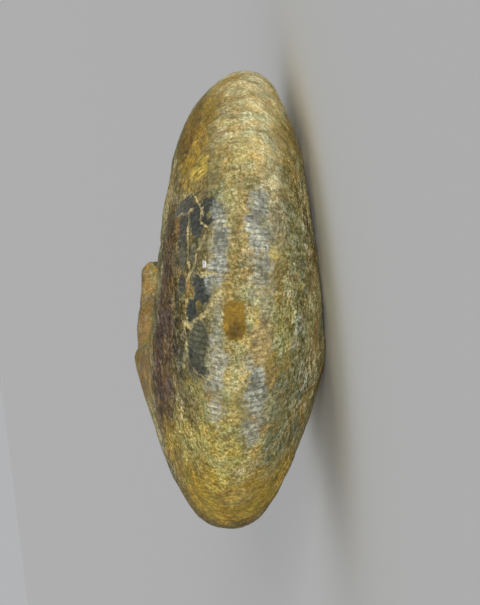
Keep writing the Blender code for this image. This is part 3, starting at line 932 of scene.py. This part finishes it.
def patches(s):
    """The patches' colours, how far they cover the crust, and how far they are bare shell."""
    silvery_sheen_ragged = s.product(s.ragged, SILVERY_SHEEN_RAGGED)
    patch_ragged = s.product(s.ragged, PATCH_RAGGED)
    colours, covered, bare = TAN, 0.0, 0.0
    for *size, colour, strength in PATCHES:
        look = (silvery_sheen_ragged, SILVERY_SHEEN_EDGE) if colour in SILVERY_AND_SHEEN else (patch_ragged, PATCH_EDGE)
        mask = s.listed_mark(*size, strength, *look)
        colours = s.mix(mask, colours, colour)
        covered = s.maths("MAXIMUM", covered, mask)
        if colour in BARE_COLOURS:
            bare = s.maths("MAXIMUM", bare, mask)
    return colours, covered, bare


def with_worn_spot(s, colour):
    """The shell worn through on the rim, with a darker stain in it."""
    half_size = (WORN_SPOT_LENGTH / 2, WORN_SPOT_WIDTH / 2)
    ragged = s.product(s.ragged, WORN_RAGGED)
    worn = s.mark(WORN_SPOT_ANGLE, WORN_SPOT_ACROSS, half_size, ragged, WORN_EDGE, 0.92)
    stain_angle = WORN_SPOT_ANGLE + STAIN_AHEAD
    stain = s.mark(stain_angle, WORN_SPOT_ACROSS, STAIN_SIZE, s.ragged, STAIN_EDGE, 0.55)
    shade = s.product(
        s.around(s.fields[0], 0.15, 0.7, 1.3), s.around(s.grains[0], 0.1, 0.8, 1.2), s.where_not(stain))
    return s.mix(worn, colour, s.tint(1.0, WORN, s.grey(shade)))


def with_veins(s, colour, fine_shade):
    vein = vein_group()
    nearest = None
    for vein_width, *points in VEINS:
        for a, b in zip(points, points[1:]):
            ends = (("Place", s.place), ("From", place_vector(*a)), ("To", place_vector(*b)))
            distance = s.maths("DIVIDE", s.add("ShaderNodeGroup", ends, node_tree=vein), vein_width)
            nearest = distance if nearest is None else s.maths("MINIMUM", nearest, distance)
    width = s.around(s.fields[1], 0.14, 0.5 * VEIN_WIDTH, 1.5 * VEIN_WIDTH)
    veins = s.ramp(s.maths("DIVIDE", nearest, width), 1.4, 0.6)
    veins = s.product(veins, s.ramp(s.fields[0], 0.34, 0.46, 0.45, 0.95))
    return s.mix(veins, colour, s.tint(1.0, VEIN, fine_shade))


def stone_colour(s):
    """Broken stone, with the cut shell round it. The line number of stone is its depth from the edge."""
    grain = s.noise_at(s.where, STONE_SCALE, 6.0, 0.7)
    colour = s.mix(s.around(grain, 0.15, 0.0, 1.0), STONE_DARK, STONE_PALE)
    return s.mix(s.ramp(s.line_number, 1.3 * SHELL_WALL, 0.7 * SHELL_WALL, 0.0, 0.7), colour, BROWN)


def surface_height(s):
    """The bump's height in metres: grain in the crust, lines on the shell.

    It is worked out three times over, so it takes the mesh's own smooth mask of the bare shell.
    """
    shell = s.where_not(s.stone)
    smooth_bare = s.product(s.bare_near, shell)
    grain = s.product(s.centred(s.grains[1], 1.0), s.ramp(smooth_bare, 0.3, 0.8, 0.00050, 0.00016))
    lumps = s.product(s.centred(s.fields[0], 1.0), s.ramp(smooth_bare, 0.3, 0.8, 0.0012, 0.0004))
    lines = s.product(
        s.maths("MULTIPLY_ADD", s.fine_wave, 0.3, s.product(s.furrow, 2.4)),
        s.line_mask,
        s.ramp(smooth_bare, 0.2, 0.8, 0.00003, 0.00012),
        shell,
    )
    return s.maths("ADD", s.maths("ADD", grain, lumps), lines)


def shell_material():
    material = bpy.data.materials.new("fossil_shell")
    material.use_nodes = True
    tree = material.node_tree
    s = ShellNodes(tree)
    shade = crust_shade(s)
    fine_shade = bare_shade(s)
    colour = mottled(s, crust_colour(s), shade)
    patch_colours, covered, bare = patches(s)
    colour = s.mix(covered, colour, s.tint(1.0, patch_colours, fine_shade))

    # Dust on the bare shell, and crust left on it in crumbs
    dust = s.product(s.ramp(s.grains[2], 0.49, 0.62, 0.0, 0.50), s.ramp(s.fields[0], 0.40, 0.58, 0.25, 1.0))
    colour = s.mix(s.product(dust, bare), colour, DUST)
    crumbs = s.product(s.ramp(s.fields[2], 0.60, 0.63), bare)
    colour = s.mix(s.product(crumbs, 0.75), colour, s.tint(1.0, OLIVE, s.grey(shade)))

    colour = with_worn_spot(s, colour)
    colour = with_veins(s, colour, fine_shade)
    colour = s.mix(s.stone, colour, stone_colour(s))

    # The bare shell is polished, the crust and the crumbs are not
    gloss = s.product(bare, s.where_not(s.stone), s.where_not(s.product(crumbs, 0.7)))
    roughness = s.ramp(gloss, 0.05, 0.9, CRUST_ROUGHNESS, BARE_ROUGHNESS)
    roughness = s.maths("ADD", roughness, s.centred(s.grains[0], 0.35))
    bump = s.add("ShaderNodeBump", (("Strength", 1.0), ("Distance", 1.0), ("Height", surface_height(s))))

    shader = tree.nodes["Principled BSDF"]
    shader.inputs["Specular IOR Level"].default_value = 0.35
    for socket, value in (("Base Color", colour), ("Roughness", roughness), ("Normal", bump)):
        tree.links.new(value, shader.inputs[socket])
    return material


# -------- the piece, the stage and the camera


def rest_turn():
    about_x = Matrix.Rotation(math.radians(REST_TILT_ABOUT_X), 3, "X")
    return np.array(about_x @ Matrix.Rotation(math.radians(REST_TILT_ABOUT_Y), 3, "Y"))


def rest_shift(points, cad_low, cad_high):
    """Sets the turned points' box over the solid's, with the worn depth below the table."""
    low, high = points.min(0), points.max(0)
    shift = (np.array(cad_low) + np.array(cad_high) - low - high) / 2
    shift[2] = -low[2] - WORN_FLAT_DEPTH
    return shift


def make_mesh(name, points, faces):
    mesh = bpy.data.meshes.new(name)
    mesh.from_pydata(points.tolist(), [], faces)
    mesh.validate()
    mesh.update()
    return mesh


def vertex_normals(points, faces):
    mesh = make_mesh("for_normals", points, faces)
    normals = np.empty(len(points) * 3)
    mesh.vertices.foreach_get("normal", normals)
    bpy.data.meshes.remove(mesh)
    return normals.reshape(-1, 3)


def make_ammonite(cad_low, cad_high):
    shell = Shell()
    bare = bare_shell(shell)
    normals = vertex_normals(shell.points, shell.faces)
    relief = shell_relief(shell, shell.points, bare)
    shell.points = shell.points + normals * relief[:, None]
    first_stone = len(shell.faces)
    add_mouth(shell)
    add_plugs(shell)
    turned = shell.points @ rest_turn().T
    shift = rest_shift(turned, cad_low, cad_high)
    placed = turned + shift
    placed[:, 2] = np.maximum(placed[:, 2], 0.0)
    mesh = make_mesh("ammonite_shell", placed, shell.faces)
    mesh.attributes.new("coil", "FLOAT_VECTOR", "CORNER")
    mesh.attributes["coil"].data.foreach_set("vector", np.array(shell.corner_places, np.float32).ravel())
    bare_all = np.zeros(len(placed), np.float32)
    bare_all[: len(bare)] = bare
    mesh.attributes.new("bare", "FLOAT", "POINT").data.foreach_set("value", bare_all)
    is_stone = np.zeros(len(shell.faces), np.float32)
    is_stone[first_stone:] = 1.0
    mesh.attributes.new("stone", "FLOAT", "FACE").data.foreach_set("value", is_stone)
    mesh.shade_smooth()
    mesh.set_sharp_from_angle(angle=math.radians(SHARP_ANGLE))
    piece = bpy.data.objects.new("ammonite_shell", mesh)
    bpy.context.scene.collection.objects.link(piece)
    piece.data.materials.append(shell_material())
    return piece, shift


def plain_material(name, colour, roughness):
    material = bpy.data.materials.new(name)
    material.use_nodes = True
    shader = material.node_tree.nodes["Principled BSDF"]
    shader.inputs["Base Color"].default_value = (*colour, 1.0)
    shader.inputs["Roughness"].default_value = roughness
    return material


def make_floor():
    mesh = bpy.data.meshes.new("floor")
    corners = [(x * FLOOR_SIZE, y * FLOOR_SIZE, 0) for x, y in ((-1, -1), (1, -1), (1, 1), (-1, 1))]
    mesh.from_pydata(corners, [], [(0, 1, 2, 3)])
    floor = bpy.data.objects.new("floor", mesh)
    bpy.context.scene.collection.objects.link(floor)
    mesh.materials.append(plain_material("pale_floor", (0.80, 0.79, 0.77), 0.9))


def view_axes():
    """The photograph's forward, right and up, for a fossil on its flank. Its up is the coil's +X."""
    yaw, roll = math.radians(VIEW_YAW), math.radians(VIEW_ROLL)
    forward = np.array([0.0, math.cos(yaw), -math.sin(yaw)])
    right = np.array([0.0, -math.sin(yaw), -math.cos(yaw)])
    up = np.array([1.0, 0.0, 0.0])
    right, up = math.cos(roll) * right + math.sin(roll) * up, -math.sin(roll) * right + math.cos(roll) * up
    turn = rest_turn()
    return turn @ forward, turn @ right, turn @ up


def add_sun(name, left, above, strength, spread):
    """A soft sun, the angles given to the left of the camera and above it in the picture."""
    forward, right, up = view_axes()
    left, above = math.radians(left), math.radians(above)
    towards = math.cos(above) * (-math.cos(left) * forward - math.sin(left) * right) + math.sin(above) * up
    light = bpy.data.lights.new(name, "SUN")
    light.energy = strength
    light.angle = math.radians(spread)
    thing = bpy.data.objects.new(name, light)
    thing.rotation_euler = Vector(towards).to_track_quat("Z", "Y").to_euler()
    bpy.context.scene.collection.objects.link(thing)


def make_lights():
    add_sun("key", left=2.0, above=11.0, strength=2.35, spread=9.0)
    world = bpy.data.worlds.new("studio")
    bpy.context.scene.world = world
    world.use_nodes = True
    background = world.node_tree.nodes["Background"]
    background.inputs["Color"].default_value = (0.96, 0.98, 1.0, 1.0)
    background.inputs["Strength"].default_value = 0.46


def make_camera(coil_centre):
    forward, right, up = view_axes()
    aside = (PICTURE_SIZE[0] / 2 - COIL_PIXEL[0]) * VIEW_SCALE
    above = (COIL_PIXEL[1] - PICTURE_SIZE[1] / 2) * VIEW_SCALE
    location = coil_centre - forward * VIEW_DISTANCE + right * aside + up * above
    camera = bpy.data.cameras.new("camera")
    camera.sensor_width = SENSOR
    camera.lens = SENSOR * VIEW_DISTANCE / VIEW_SCALE / max(PICTURE_SIZE)
    thing = bpy.data.objects.new("camera", camera)
    thing.matrix_world = Matrix((
        (right[0], up[0], -forward[0], location[0]),
        (right[1], up[1], -forward[1], location[1]),
        (right[2], up[2], -forward[2], location[2]),
        (0, 0, 0, 1),
    ))
    bpy.context.scene.collection.objects.link(thing)
    bpy.context.scene.camera = thing


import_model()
ammonite, coil_centre = make_ammonite(*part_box("ammonite"))
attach(ammonite, "root")
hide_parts("ammonite")
make_floor()
make_lights()
make_camera(coil_centre)
bpy.context.scene.view_settings.view_transform = "Standard"
